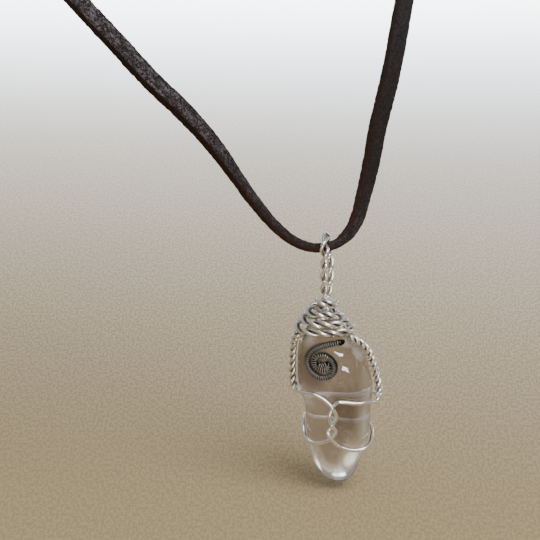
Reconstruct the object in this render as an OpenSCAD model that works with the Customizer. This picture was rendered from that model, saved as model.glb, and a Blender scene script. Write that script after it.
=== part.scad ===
// Quartz pendant in twisted silver wire, hanging on a leather lace.
// Origin: centre of the neck opening. +X the wearer's left, -Y forwards, +Z up.

/* [Leather lace] */
// Width of the flat lace
lace_width = 3.2; // [2.8:0.1:3.4]
// Thickness of the flat lace
lace_thickness = 1.8; // [1.6:0.1:2.0]
// Width and thickness of the lace where the bail squeezes it
lace_pinched = 1.5; // [1.4:0.1:1.9]

/* [Clasp] */
// Length of the barrel at the nape
clasp_length = 17; // [14:0.5:20]
// Diameter of the barrel
clasp_diameter = 5.2; // [5:0.1:6]
// Diameter of the sockets that hold the lace ends
clasp_socket = 3.8; // [3.7:0.05:4]

/* [Silver wire] */
// Diameter of the silver wire
wire_diameter = 0.66; // [0.56:0.02:0.68]
// Length of one full turn of the twisted side wires
side_pitch = 2.6; // [2.2:0.1:3.4]
// Length of one full turn of the twisted bail
bail_pitch = 4.9; // [4:0.1:5.4]
// Length of one full turn of the twisted neck wrap
wrap_pitch = 5.2; // [4:0.1:5.6]

/* [Dark coil] */
// Outer diameter of the coiled wire
coil_diameter = 1.18; // [1.0:0.02:1.2]
// Length from one winding of the coil to the next
coil_pitch = 0.36; // [0.34:0.01:0.5]

/* [Quartz] */
// Length of the stone, from its hidden top to its tip
stone_length = 30.4; // [29:0.2:31]
// Width of the stone, seen from the front
stone_width = 13; // [12:0.1:13.2]
// Depth of the stone, from front to back
stone_depth = 8.6; // [7.6:0.1:8.8]

/* [Hidden] */
$fn = 48;

// The pendant hangs from this point, in the middle of the lace, and is turned about the vertical.
hang_point = [0, -74, -116];
pendant_turn = -28;
// Clearance between pieces that touch on the real thing
gap = 0.06;

// The lace from the middle of the bail, up the right side and up the left side of the chest
right_route = [[1.3, 0.1, -0.3], [2.5, 0.1, -0.1], [3.7, 0.4, 0.4], [5, 0.8, 1], [6.1, 1.3, 1.8],
    [7.8, 2.3, 3.5], [9.4, 3.7, 5.8], [11.3, 5.4, 8.4], [13.2, 7.2, 11.3], [15.9, 10, 15.6],
    [18.5, 12.4, 19.2], [21.1, 14.8, 22.7], [23.9, 17.6, 26.9], [26.7, 20.6, 31.2], [29.5, 23.6, 35.2]];
left_route = [[0, 0, -0.4], [-1.4, 0, -0.3], [-2.4, 0.1, -0.1], [-3.6, 0.3, 0.3], [-5, 0.7, 1],
    [-6.6, 1.5, 2.2], [-8.8, 3, 4.7], [-11, 5.1, 8.2], [-12.6, 7, 11.3], [-14.6, 9.4, 15.2],
    [-16.8, 11.8, 18.9], [-19.7, 14.5, 22.8], [-22.5, 16.9, 26.1], [-24.9, 19.2, 29.3],
    [-27.2, 21.5, 32.6], [-29.6, 23.9, 35.9], [-32.3, 26.7, 39.7]];
// On each side from there round the neck to the clasp, given for the right side
neck_route = [[37, 31.5, 46.5], [44.5, 42, 59.5], [51, 55, 75], [56, 69.5, 91.5], [58.5, 84, 105.5],
    [57.5, 98, 116], [52, 111.5, 124], [42, 122.5, 129.5], [28, 129.5, 133], [14, 132, 134]];
nape = [0, 132, 134];
lace_steps = 2;
socket_depth = 5.3;
// How the lace lies along its route: part of the whole length from the left end, turn, squeeze
LACE_AT = 0;
LACE_TURN = 1;
LACE_SQUEEZE = 2;
lace_lie = [[0, 0, 0], [0.2, 0, 0], [0.36, -30, 0], [0.415, -30, 0.05], [0.439, -30, 0.22],
    [0.459, -30, 0.7], [0.477, -32, 0.95], [0.495, -35, 1], [0.5035, -28, 1], [0.508, 2, 0.8],
    [0.513, 11, 0.68], [0.526, 12, 0.5], [0.542, 8, 0.28], [0.554, 4, 0.1], [0.575, -9, 0],
    [0.6, -15, 0], [0.8, 0, 0], [1, 0, 0]];

// Sections of the stone: part of its length from the top, middle across, middle deep, and parts of
// its width and depth
STONE_DOWN = 0;
STONE_X = 1;
STONE_Y = 2;
STONE_W = 3;
STONE_D = 4;
stone_top = -13.6;
stone_roundness = 2.6;
stone_sides = 32;
stone_sections = [[0, 0.4, 0.6, 0.18, 0.24], [0.02, 0.4, 0.6, 0.4, 0.48],
    [0.05, 0.25, 0.7, 0.53, 0.68], [0.105, 0.85, 1, 0.775, 0.85], [0.17, 1.3, 1.1, 0.89, 0.94],
    [0.255, 1.6, 1.2, 0.95, 0.99], [0.365, 2, 1.2, 1, 1], [0.445, 2.35, 1.2, 0.955, 1],
    [0.51, 2.55, 1.2, 0.89, 0.98], [0.6, 2.6, 1.2, 0.87, 0.95], [0.71, 2.6, 1.2, 0.83, 0.9],
    [0.8, 2.5, 1.2, 0.705, 0.79], [0.87, 2.5, 1.2, 0.61, 0.68], [0.935, 2.6, 1.2, 0.47, 0.51],
    [0.975, 2.8, 1.2, 0.295, 0.32], [1, 2.9, 1.2, 0.08, 0.09]];

// Path of the bail, up the front leg, over the lace and down the back leg
bail_route = [[0.1, -0.72, -12.4], [0.05, -0.76, -10.4], [-0.1, -1.05, -8], [-0.2, -1.7, -5],
    [-0.2, -2.25, -2.4], [-0.15, -2.4, -0.3], [-0.05, -1.6, 0.85], [0.1, 0, 1.4], [0.25, 1.7, 0.85],
    [0.4, 2.5, -0.3], [0.8, 2.3, -2.4], [1.05, 1.75, -5], [0.8, 1.15, -8], [0.42, 0.78, -10.4],
    [0.36, 0.74, -12.4]];

// Turns of the neck wrap: turn, half width, half depth, middle across, middle deep, height
WRAP_TURN = 0;
WRAP_W = 1;
WRAP_D = 2;
WRAP_X = 3;
WRAP_Y = 4;
WRAP_Z = 5;
wrap_start = 215;
wrap_turns = [[0, 1.75, 2.3, 0.1, 0, -9.6], [0.15, 1.7, 2.3, 0.1, 0, -9.5],
    [0.4, 1.85, 2.3, 0.1, 0, -10.5], [0.65, 1.9, 2.35, 0, 0.1, -11.1], [0.9, 2.5, 2.5, -0.23, 0.15, -11.7],
    [1.15, 2.6, 2.75, -0.2, 0.2, -11.5], [1.4, 2.6, 2.85, -0.2, 0.2, -12.5],
    [1.65, 2.9, 3, -0.1, 0.3, -12.6], [1.9, 3.5, 3.3, 0, 0.35, -13], [2.15, 3.6, 3.45, 0, 0.4, -13.1],
    [2.4, 3.6, 3.5, 0, 0.4, -13.6], [2.65, 3.9, 3.65, 0, 0.45, -14], [2.9, 4.45, 3.85, 0, 0.5, -14.5],
    [3.15, 4.5, 3.95, 0.05, 0.55, -14.55], [3.4, 4.6, 3.95, 0.1, 0.55, -14.85],
    [3.55, 4.6, 4.05, 0.1, 0.55, -14.7]];

// Wires that lie on the stone: angle round it, height, how far the wire's middle stands off it
ON_ANGLE = 0;
ON_Z = 1;
ON_LIFT = 2;
left_twist_route = [[-166, -15.5, 1], [-179, -18.1, 0.74], [-180, -20.1, 0.74], [-180, -22, 0.74],
    [-179, -23.8, 0.74], [-174, -25.2, 0.76], [-170, -25.7, 0.8]];
right_twist_route = [[-36, -15.5, 1], [-24, -17, 0.78], [-17, -18.9, 0.76], [-13, -21.1, 0.76],
    [-3, -23.9, 0.76], [-3, -25.6, 0.9], [-8, -26.8, 1.05]];
// Down from the left twist, round the middle twist, round the right edge and across the back
front_left_route = [[-168, -26.4, 0.55], [-160, -26, 0.43], [-138, -25.7, 0.4], [-123, -26.3, 0.43],
    [-109, -27.2, 0.89], [-103, -27.9, 1.2], [-96, -29.6, 0.76], [-105, -31.5, 0.4],
    [-114, -32.4, 0.79], [-111, -33.3, 1.25], [-94, -35.1, 0.52], [-70, -36, 0.4], [-47, -36.4, 0.4],
    [-28, -36.2, 0.6], [-12, -35.5, 0.55], [4, -34.6, 0.5], [20, -33.9, 0.45], [40, -33.3, 0.43],
    [65, -32.9, 0.4], [90, -32.6, 0.4], [125, -32.1, 0.4], [158, -32.1, 0.43]];
// Down from the right twist, round the middle twist and round the left edge
front_right_route = [[-9, -27.6, 1.2], [-13, -28.1, 0.74], [-22, -27.9, 0.43], [-35, -27.5, 0.4],
    [-53, -27.4, 0.4], [-72, -27.1, 0.4], [-89, -27, 0.4], [-99, -27.6, 0.4], [-104, -28.2, 0.4],
    [-111, -29.6, 0.74], [-105, -31.2, 1.2], [-97, -32.4, 0.76], [-106, -33.7, 0.4],
    [-116, -34.4, 0.4], [-130, -34.9, 0.4], [-143, -35.2, 0.4], [-155, -35, 0.5],
    [-168, -34.2, 0.5], [-178, -33.1, 0.45], [-190, -32.3, 0.43]];
// Across the back, from one side twist to the other
back_route = [[-179, -26.4, 0.95], [-200, -27.5, 0.43], [-230, -27.9, 0.4], [-270, -28.1, 0.4],
    [-310, -28.2, 0.4], [-340, -28, 0.5], [-356, -27.6, 1]];
// Spiral of the dark coil, from under the wrap to its middle
coil_route = [[-58.6, -16.05, 1.2], [-70.2, -16.15, 1.1], [-83.9, -16.35, 0.95], [-101, -16.64, 0.75],
    [-112.8, -16.89, 0.68], [-122.6, -17.28, 0.65], [-130.4, -17.78, 0.65], [-136.3, -18.46, 0.65],
    [-138.8, -19.17, 0.65], [-139.2, -19.98, 0.65], [-137.4, -20.7, 0.65], [-133.5, -21.37, 0.65],
    [-128.4, -21.94, 0.65], [-121.8, -22.28, 0.65], [-113.2, -22.42, 0.65], [-103.3, -22.22, 0.65],
    [-95.2, -21.76, 0.65], [-89.3, -21.13, 0.65], [-87.1, -20.38, 0.65], [-89, -19.66, 0.65],
    [-94.6, -19.02, 0.65], [-102.2, -18.57, 0.65], [-110.7, -18.38, 0.65], [-119.3, -18.5, 0.65],
    [-125.2, -18.92, 0.65], [-127.1, -19.56, 0.65], [-126.2, -20.14, 0.66], [-122.3, -20.62, 0.68],
    [-115.7, -20.89, 0.7], [-108.5, -20.88, 0.72], [-103.5, -20.66, 0.72]];

wire_r = wire_diameter / 2;
pair_offset = wire_r + gap / 4;
ring_step = 0.7;
wire_sides = 7;
pair_rings_per_turn = 8;
pair_corners = 10;
coil_sides = 8;

function unit(v) = v / norm(v);
function last(list) = list[len(list) - 1];

// Point at place t of a smooth curve through the rows of a list, whole numbers being the rows
function curve_at(rows, t) =
    let (i = min(floor(t), len(rows) - 2), f = t - i, a = rows[max(i - 1, 0)], b = rows[i],
        c = rows[i + 1], d = rows[min(i + 2, len(rows) - 1)])
    b + 0.5 * f * (c - a + f * (2 * a - 5 * b + 4 * c - d + f * (3 * (b - c) + d - a)));
function curve(rows, steps) = [for (k = [0:(len(rows) - 1) * steps]) curve_at(rows, k / steps)];

// Running length along a list of points
function run(path) = [for (i = 0, s = 0; i < len(path); i = i + 1,
    s = s + (i < len(path) ? norm(path[i] - path[i - 1]) : 0)) s];

// The same path with a chosen number of points, evenly spaced
function even(path, count) =
    let (s = run(path), whole = last(s),
        tables = [for (k = [0:2]) [for (i = [0:len(path) - 1]) [s[i], path[i][k]]]])
    [for (i = [0:count - 1]) let (at = whole * i / (count - 1)) [for (k = [0:2]) lookup(at, tables[k])]];

function directions(path) =
    [for (i = [0:len(path) - 1]) unit(path[min(i + 1, len(path) - 1)] - path[max(i - 1, 0)])];
function across(v, along) = unit(v - (v * along) * along);

// Side vectors that don't spin as they go along the path
function side_vectors(path, start) =
    let (along = directions(path))
    [for (i = 0, v = across(start, along[0]); i < len(path); i = i + 1,
        v = across(v, along[min(i, len(path) - 1)])) v];

// Solid through closed outlines, each a ring of points with the same count
module skin(rings) {
    count = len(rings[0]);
    faces = concat([[for (j = [0:count - 1]) j]],
        [for (i = [0:len(rings) - 2]) for (j = [0:count - 1])
            let (a = i * count + j, b = i * count + (j + 1) % count)
            each [[a, a + count, b], [b, a + count, b + count]]],
        [[for (j = [count - 1:-1:0]) (len(rings) - 1) * count + j]]);
    polyhedron([for (ring = rings) each ring], faces, convexity = 8);
}

// Places a flat outline square to the path at one point
function placed(outline, point, side, along) =
    let (up = cross(along, side)) [for (p = outline) point + p[0] * side + p[1] * up];

function circle_outline(r, sides) =
    [for (j = [0:sides - 1]) r * [cos(360 * j / sides), sin(360 * j / sides)]];

// Outline of two wires side by side, turned
function pair_outline(turn) = [for (j = [0:pair_corners - 1])
    let (a = 360 * j / pair_corners, s = pair_offset * sin(a), reach = wire_r + gap / 3,
        r = pair_offset * abs(cos(a)) + sqrt(reach * reach - s * s))
    (r - gap / 3) * [cos(a + turn), sin(a + turn)]];

module round_wire(path) {
    sides = side_vectors(path, [0.3, 0.2, 1]);
    along = directions(path);
    outline = circle_outline(wire_r, wire_sides);
    skin([for (i = [0:len(path) - 1]) placed(outline, path[i], sides[i], along[i])]);
}

// Two wires twisted together, as one solid with two ridges
module twisted_pair(path, pitch, start_turn, start_side) {
    whole = last(run(path));
    rings = round(whole / pitch * pair_rings_per_turn) + 1;
    points = even(path, rings);
    sides = side_vectors(points, start_side);
    along = directions(points);
    skin([for (i = [0:rings - 1]) let (turn = start_turn + 360 * whole / pitch * i / (rings - 1))
        placed(pair_outline(turn), points[i], sides[i], along[i])]);
}

// Section of the stone at a height: middle across, middle deep, half width, half depth
function stone_section(z) =
    let (down = (stone_top - z) / stone_length,
        at = function (k) lookup(down, [for (s = stone_sections) [s[STONE_DOWN], s[k]]]))
    [at(STONE_X), at(STONE_Y), at(STONE_W) * stone_width / 2, at(STONE_D) * stone_depth / 2];

// Point at an angle round the stone at a height, standing off its surface by a lift
function on_stone(angle, z, lift) =
    let (s = stone_section(z), n = stone_roundness, c = cos(angle), d = sin(angle),
        r = pow(pow(abs(c) / s[2], n) + pow(abs(d) / s[3], n), -1 / n), x = r * c, y = r * d,
        out = unit([sign(x) * pow(abs(x) / s[2], n - 1) / s[2],
            sign(y) * pow(abs(y) / s[3], n - 1) / s[3]]))
    [s[0] + x + lift * out[0], s[1] + y + lift * out[1], z];
function stone_path(route, steps) =
    [for (p = curve(route, steps)) on_stone(p[ON_ANGLE], p[ON_Z], p[ON_LIFT])];
function spaced(path, step) = even(path, max(2, round(last(run(path)) / step)) + 1);

module in_pendant_place() {
    translate(hang_point) rotate([0, 0, pendant_turn]) children();
}

// Whole route of the lace, from the left end in the clasp down to the bail and up to the right end
function backwards(list) = [for (i = [len(list) - 1:-1:0]) list[i]];
function mirrored(route) = [for (p = route) [-p[0], p[1], p[2]]];
lace_end = [clasp_length / 2 - socket_depth + 0.3, 0, 0];
lace_route = concat([nape - lace_end], backwards(mirrored(neck_route)), backwards(left_route),
    right_route, neck_route, [nape + lace_end]);

// Eight-cornered outline of the lace
function lace_outline(w, t, turn) =
    let (c = 0.16 * min(w, t), x = w / 2, y = t / 2)
    [for (p = [[x, -y + c], [x, y - c], [x - c, y], [-x + c, y],
        [-x, y - c], [-x, -y + c], [-x + c, -y], [x - c, -y]])
        [p[0] * cos(turn) - p[1] * sin(turn), p[0] * sin(turn) + p[1] * cos(turn)]];

// Faces of the lace look away from the neck and, on the chest, a little upwards
function lace_out(p) = [p[0], p[1], 0.45 * norm([p[0], p[1]])];

module leather_lace() {
    points = [for (p = curve(lace_route, lace_steps)) hang_point + p];
    along = directions(points);
    length_to = run(points);
    color("#33231c") skin([for (i = [0:len(points) - 1])
        let (at = length_to[i] / last(length_to), out = across(lace_out(points[i]), along[i]),
            flat = cross(out, along[i]),
            squeeze = lookup(at, [for (l = lace_lie) [l[LACE_AT], l[LACE_SQUEEZE]]]),
            turn = lookup(at, [for (l = lace_lie) [l[LACE_AT], l[LACE_TURN]]]),
            w = lace_width + squeeze * (lace_pinched - lace_width),
            t = lace_thickness + squeeze * (lace_pinched - lace_thickness))
        placed(lace_outline(w, t, turn), points[i], flat, along[i])]);
}

module clasp() {
    rim = 0.5;
    color("silver") translate(hang_point + nape) rotate([0, 90, 0]) difference() {
        union() {
            cylinder(d = clasp_diameter - rim, h = clasp_length, center = true);
            for (end = [-1, 1]) translate([0, 0, end * (clasp_length / 2 - 1.2)])
                cylinder(d = clasp_diameter, h = 1.4, center = true);
            cylinder(d = clasp_diameter, h = 2.4, center = true);
        }
        for (end = [-1, 1]) translate([0, 0, end * (clasp_length / 2 - socket_depth / 2 + 0.01)])
            cylinder(d = clasp_socket, h = socket_depth, center = true);
    }
}

module quartz_stone() {
    color("#dcd9d2", 0.6) in_pendant_place() skin([for (s = stone_sections)
        let (z = stone_top - s[STONE_DOWN] * stone_length)
        [for (j = [0:stone_sides - 1]) on_stone(-360 * j / stone_sides, z, 0)]]);
}

module bail() {
    color("silver") in_pendant_place() twisted_pair(curve(bail_route, 10), bail_pitch, 156, [1, 0, 0]);
}

module neck_wrap() {
    path = [for (t = curve(wrap_turns, 6)) let (a = wrap_start + 360 * t[WRAP_TURN])
        [t[WRAP_X] + t[WRAP_W] * cos(a), t[WRAP_Y] + t[WRAP_D] * sin(a), t[WRAP_Z]]];
    color("silver") in_pendant_place() twisted_pair(path, wrap_pitch, 0, [0, 0, 1]);
}

module left_side_twist() {
    color("silver") in_pendant_place()
        twisted_pair(stone_path(left_twist_route, 8), side_pitch, 0, [1, 0, 0]);
}

module right_side_twist() {
    color("silver") in_pendant_place()
        twisted_pair(stone_path(right_twist_route, 8), side_pitch, 0, [1, 0, 0]);
}

module front_wire_left() {
    color("silver") in_pendant_place() round_wire(spaced(stone_path(front_left_route, 10), ring_step));
}

module front_wire_right() {
    color("silver") in_pendant_place() round_wire(spaced(stone_path(front_right_route, 10), ring_step));
}

module back_wire() {
    color("silver") in_pendant_place() round_wire(spaced(stone_path(back_route, 10), ring_step));
}

// The coiled wire, as a tube with a ridge for each winding
module spiral_coil() {
    path = spaced(stone_path(coil_route, 10), coil_pitch / 2);
    sides = side_vectors(path, [0, -1, 0]);
    along = directions(path);
    groove = 0.14;
    color("#4a4a4c") in_pendant_place() skin([for (i = [0:len(path) - 1])
        let (outline = circle_outline(coil_diameter / 2 - (i % 2) * groove, coil_sides))
        placed(outline, path[i], sides[i], along[i])]);
}

leather_lace();
clasp();
quartz_stone();
bail();
neck_wrap();
left_side_twist();
right_side_twist();
front_wire_left();
front_wire_right();
back_wire();
spiral_coil();
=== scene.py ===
"""Quartz pendant necklace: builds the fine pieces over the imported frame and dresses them.

The makers' classes work in millimetres, in the frame of the part. A mesh is turned into metres when it is
finished. Routes and sizes are those of the part's source.
"""

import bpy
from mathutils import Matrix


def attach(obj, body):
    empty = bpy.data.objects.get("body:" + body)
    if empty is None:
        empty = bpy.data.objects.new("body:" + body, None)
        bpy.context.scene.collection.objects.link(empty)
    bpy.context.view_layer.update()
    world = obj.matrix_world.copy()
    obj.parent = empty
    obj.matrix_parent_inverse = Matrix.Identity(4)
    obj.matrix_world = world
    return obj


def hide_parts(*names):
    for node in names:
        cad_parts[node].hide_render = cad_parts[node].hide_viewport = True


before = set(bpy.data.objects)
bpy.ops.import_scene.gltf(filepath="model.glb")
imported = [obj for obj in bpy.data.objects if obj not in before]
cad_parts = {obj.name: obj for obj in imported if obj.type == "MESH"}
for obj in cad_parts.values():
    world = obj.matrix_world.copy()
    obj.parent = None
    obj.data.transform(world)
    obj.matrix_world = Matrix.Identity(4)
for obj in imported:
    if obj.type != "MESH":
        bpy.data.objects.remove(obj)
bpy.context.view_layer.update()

import logging
import math
from dataclasses import dataclass
from enum import Enum
from typing import Callable, Sequence, Union

import bmesh
import bpy
from mathutils import Matrix, Quaternion, Vector, noise

logging.basicConfig(level=logging.INFO, format="%(message)s")
log = logging.getLogger("necklace")

MM = 0.001
Row = Sequence[float]
Number = Union[float, "Varying"]
Frame3 = tuple[Vector, Vector, Vector]

# Where the pendant hangs, in millimetres, and its turn about the vertical in degrees.
HANG = Vector((0.0, -74.0, -116.0))
TURN = -28.0
PLACE = Matrix.Translation(HANG) @ Matrix.Rotation(math.radians(TURN), 4, "Z")
# Rounded cosine and sine of the turn, for patterns that follow the pendant and the view.
COS_TURN, SIN_TURN = (round(wave(math.radians(-TURN)), 3) for wave in (math.cos, math.sin))
# The middle of the clasp at the nape, from where the pendant hangs.
NAPE = Vector((0.0, 132.0, 134.0))
# Signs of the four corners of a flat outline, in order round it.
CORNERS = ((1, 1), (-1, 1), (-1, -1), (1, -1))


class Body(Enum):
    """The bodies of the frame that pieces ride on."""

    NECKLACE = "necklace"
    PENDANT = "pendant"


class Slot(Enum):
    """The record's material slots."""

    LACE = "lace"
    CLASP = "clasp"
    QUARTZ = "quartz"
    SILVER = "silver_wire"
    DARK = "dark_wire"


def smoothstep(low: float, high: float, x: float) -> float:
    """Eases from 0 at low to 1 at high.

    Args:
        low: where the step starts.
        high: where the step ends.
        x: the value looked at.

    Returns:
        The eased share, from 0 to 1.
    """
    t = min(max((x - low) / (high - low), 0.0), 1.0)
    return t * t * (3 - 2 * t)


def bump_at(x: float, middle: float, width: float) -> float:
    """A smooth hump of height 1 at middle, gone one width away on each side."""
    return max(0.0, 1 - ((x - middle) / width) ** 2) ** 2


def noise_at(seed: float, x: float, roughness: float = 1.0) -> float:
    """Smooth wander between about -1 and 1 along x, its own for each seed."""
    return noise.noise(Vector((x * roughness, seed * 7.31, 0.5)))


def heading(azimuth: float, height: float) -> Vector:
    """Unit direction at degrees round from straight back and degrees up."""
    a, e = math.radians(azimuth), math.radians(height)
    return Vector((math.sin(a) * math.cos(e), math.cos(a) * math.cos(e), math.sin(e)))


def circle(radius: float, sides: int) -> list[Row]:
    """Corners of a round outline."""
    turns = (math.tau * j / sides for j in range(sides))
    return [(radius * math.cos(a), radius * math.sin(a)) for a in turns]


def hermite(t: float) -> tuple[float, float, float, float]:
    """Weights of a start, its slope, an end and its slope, a share t along a smooth stretch."""
    return 2 * t ** 3 - 3 * t ** 2 + 1, t ** 3 - 2 * t ** 2 + t, 3 * t ** 2 - 2 * t ** 3, t ** 3 - t ** 2


def squared(point: Vector, way: Vector, along: Vector) -> Frame3:
    """Frame at a point of a path.

    Args:
        point: the point.
        way: rough direction of the side vector.
        along: the path's direction there.

    Returns:
        The point, the side vector and the up vector.
    """
    side = (way - way.dot(along) * along).normalized()
    return point, side, along.cross(side)


@dataclass
class Table:
    """Rows of numbers against a rising key in the first column, read as smooth curves."""

    rows: Sequence[Row]

    def _slope(self, i: int, column: int) -> float:
        """Slope of a column at row i."""
        a, b = self.rows[max(i - 1, 0)], self.rows[min(i + 1, len(self.rows) - 1)]
        return (b[column] - a[column]) / (b[0] - a[0])

    def at(self, key: float, column: int) -> float:
        """Value of a column at a key.

        Args:
            key: place along the first column, held to its ends.
            column: number of the column to read.

        Returns:
            The value on a smooth curve through the rows.
        """
        key = min(max(key, self.rows[0][0]), self.rows[-1][0])
        i = 0
        while i < len(self.rows) - 2 and key > self.rows[i + 1][0]:
            i += 1
        a, b = self.rows[i], self.rows[i + 1]
        step = b[0] - a[0]
        start, leave, end, arrive = hermite((key - a[0]) / step)
        return (start * a[column] + leave * step * self._slope(i, column)
                + end * b[column] + arrive * step * self._slope(i + 1, column))


def curve_rows(rows: Sequence[Row], steps: int) -> list[Vector]:
    """Smooth curve through rows of numbers.

    Args:
        rows: the numbers that the curve goes through.
        steps: points made for each stretch between two rows.

    Returns:
        The points of the curve, first and last row included.
    """
    points = [Vector(row) for row in rows]
    out = []
    for k in range((len(points) - 1) * steps + 1):
        i = min(k // steps, len(points) - 2)
        f = k / steps - i
        b, c = points[i], points[i + 1]
        a, d = points[max(i - 1, 0)], points[min(i + 2, len(points) - 1)]
        out.append(b + 0.5 * f * (c - a + f * (2 * a - 5 * b + 4 * c - d + f * (3 * (b - c) + d - a))))
    return out


@dataclass
class Path:
    """A path in millimetres, as a run of close points."""

    points: list[Vector]

    def runs(self) -> list[float]:
        """Measures along the path.

        Returns:
            The length from the start to each point.
        """
        total, out = 0.0, [0.0]
        for a, b in zip(self.points, self.points[1:]):
            total += (b - a).length
            out.append(total)
        return out

    def length(self) -> float:
        """Whole length of the path."""
        return self.runs()[-1]

    def spaced(self, step: float) -> "Path":
        """Spaces the path's points evenly.

        Args:
            step: rough distance between two points.

        Returns:
            The same path, with its ends kept.
        """
        runs, whole = self.runs(), self.length()
        count = max(2, round(whole / step)) + 1
        out, i = [], 0
        for k in range(count):
            at = whole * k / (count - 1)
            while i < len(runs) - 2 and at > runs[i + 1]:
                i += 1
            share = (at - runs[i]) / max(runs[i + 1] - runs[i], 1e-9)
            out.append(self.points[i].lerp(self.points[i + 1], min(share, 1.0)))
        return Path(out)

    def directions(self) -> list[Vector]:
        """Unit direction at each point."""
        p = self.points
        return [(p[min(i + 1, len(p) - 1)] - p[max(i - 1, 0)]).normalized() for i in range(len(p))]

    def frames(self, start: Vector) -> list[Frame3]:
        """Frames that don't spin as they go along the path.

        Args:
            start: rough direction of the first side vector.

        Returns:
            A point, a side vector and an up vector for each place.
        """
        out: list[Frame3] = []
        for point, along in zip(self.points, self.directions()):
            out.append(squared(point, out[-1][1] if out else start, along))
        return out

    def facing(self, ways: Sequence[Vector]) -> list[Frame3]:
        """Frames whose side vectors face given ways."""
        return [squared(*row) for row in zip(self.points, ways, self.directions())]


class MeshMaker:
    """Gathers tubes and turned shapes of one piece in one mesh."""

    def __init__(self) -> None:
        """Starts an empty mesh with the attribute that follows the surface."""
        self.bm = bmesh.new()
        self.lay = self.bm.verts.layers.float_vector.new("lay")

    def tube(self, frames: Sequence[Frame3], outlines: Callable[[int], Sequence[Row]],
             lays: Callable[[int], Sequence[Row]] | None = None) -> None:
        """Wraps a grid round a path and closes its seam and its ends.

        Args:
            frames: point, side and up vector of each ring.
            outlines: gives the outline of a ring by its number, as x and y pairs.
            lays: gives the flat coordinates kept for the finish, as the outline's own if left out.
        """
        rings, around = len(frames), len(outlines(0))
        made = bmesh.ops.create_grid(self.bm, x_segments=rings - 1, y_segments=around, size=0.5)["verts"]
        run, runs = 0.0, []
        for i, (point, _side, _up) in enumerate(frames):
            run += (point - frames[i - 1][0]).length if i else 0.0
            runs.append(run)
        shapes = [outlines(i) for i in range(rings)]
        flats = [lays(i) for i in range(rings)] if lays else shapes
        seam, ends = [], ([], [])
        for vert in made:
            i = round((vert.co.x + 0.5) * (rings - 1))
            j = round((vert.co.y + 0.5) * around)
            point, side, up = frames[i]
            x, y = shapes[i][j % around]
            vert.co = point + x * side + y * up
            fx, fy = flats[i][j % around]
            vert[self.lay] = Vector((runs[i], fx, fy))
            if j in (0, around):
                seam.append(vert)
            if i in (0, rings - 1):
                ends[i > 0].append(vert)
        bmesh.ops.remove_doubles(self.bm, verts=seam, dist=1e-6)
        for end in ends:
            alive = {v for v in end if v.is_valid}
            edges = {e for v in alive for e in v.link_edges if e.other_vert(v) in alive and e.is_boundary}
            bmesh.ops.contextual_create(self.bm, geom=list(edges))

    def wire(self, frames: Sequence[Frame3], radius: float, sides: int = 12) -> None:
        """A round wire on given frames, drawn in at its ends.

        Args:
            frames: point, side and up vector of each ring.
            radius: the wire's radius.
            sides: corners round the wire.
        """
        drawn, last = (0.72, 0.93), len(frames) - 1

        def ring(i: int) -> list[Row]:
            """Outline of one ring."""
            near = min(i, last - i)
            return circle(radius * (drawn[near] if near < len(drawn) else 1.0), sides)

        self.tube(frames, ring)

    def finish(self, name: str, node: str, material: bpy.types.Material,
               body: Body = Body.PENDANT, place: Matrix = PLACE) -> bpy.types.Object:
        """Turns the gathered shapes into one piece of the necklace.

        Args:
            name: the piece's name.
            node: the plain solid that it stands for.
            material: its finish.
            body: the body that it rides on.
            place: where the shapes go, in millimetres.

        Returns:
            The finished object, with its place in its mesh.
        """
        bm = self.bm
        bmesh.ops.recalc_face_normals(bm, faces=bm.faces)
        bm.transform(Matrix.Scale(MM, 4) @ place)
        for face in bm.faces:
            face.smooth = True
        mesh = bpy.data.meshes.new(name)
        bm.to_mesh(mesh)
        bm.free()
        mesh.materials.append(material)
        obj = bpy.data.objects.new(name, mesh)
        bpy.context.scene.collection.objects.link(obj)
        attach(obj, body.value)
        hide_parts(node)
        log.info("%s: %d faces", name, len(mesh.polygons))
        return obj


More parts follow.
